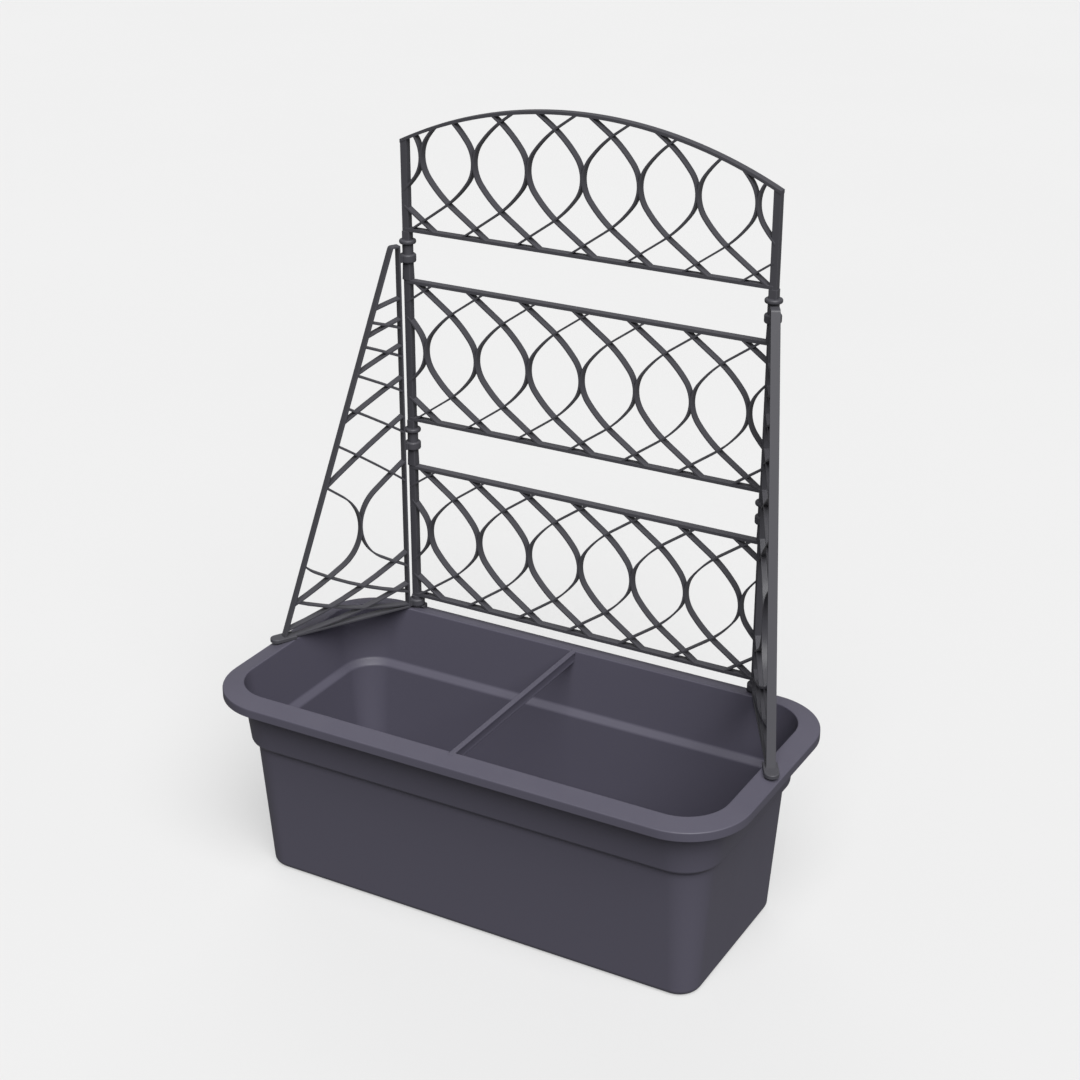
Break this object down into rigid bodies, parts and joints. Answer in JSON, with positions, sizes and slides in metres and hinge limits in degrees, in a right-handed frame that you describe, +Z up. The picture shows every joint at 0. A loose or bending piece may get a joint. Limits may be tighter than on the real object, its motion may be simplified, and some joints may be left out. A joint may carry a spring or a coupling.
{
  "type": "planter with trellis",
  "caption": "Rectangular floor planter with an arched lattice trellis in stacked panels on its back rim and a hinged triangular lattice wing at each end.",
  "frame": {"origin": "centre of the standing ring's underside, on the floor", "axes": "+X along the trough, +Y from the front to the trellis, +Z up"},
  "size_m": [0.8, 0.393, 1.07],
  "materials": {
    "trough_plastic": "satin moulded polypropylene, dark slate",
    "trellis_plastic": "satin moulded polypropylene, dark slate"
  },
  "bodies": {
    "planter": {"trough": "trough_plastic", "cross_brace": "trellis_plastic", "panel_bottom": "trellis_plastic", "panel_middle": "trellis_plastic", "panel_top": "trellis_plastic", "post_foot_left": "trellis_plastic", "post_foot_right": "trellis_plastic", "connector_lower_left": "trellis_plastic", "connector_lower_right": "trellis_plastic", "connector_upper_left": "trellis_plastic", "connector_upper_right": "trellis_plastic", "sleeve_lower_left": "trellis_plastic", "sleeve_lower_right": "trellis_plastic", "sleeve_upper_left": "trellis_plastic", "sleeve_upper_right": "trellis_plastic"},
    "wing_left": {"wing_left": "trellis_plastic", "wing_shoe_left": "trellis_plastic"},
    "wing_right": {"wing_right": "trellis_plastic", "wing_shoe_right": "trellis_plastic"}
  },
  "joints": [
    {"name": "wing_left_swing", "type": "hinge", "parent": "planter", "child": "wing_left", "pos_m": [-0.277, 0.184, 0.298], "axis": [0, 0, -1], "range_deg": [-50, 60]},
    {"name": "wing_right_swing", "type": "hinge", "parent": "planter", "child": "wing_right", "pos_m": [0.277, 0.184, 0.298], "axis": [0, 0, 1], "range_deg": [-50, 60]}
  ]
}
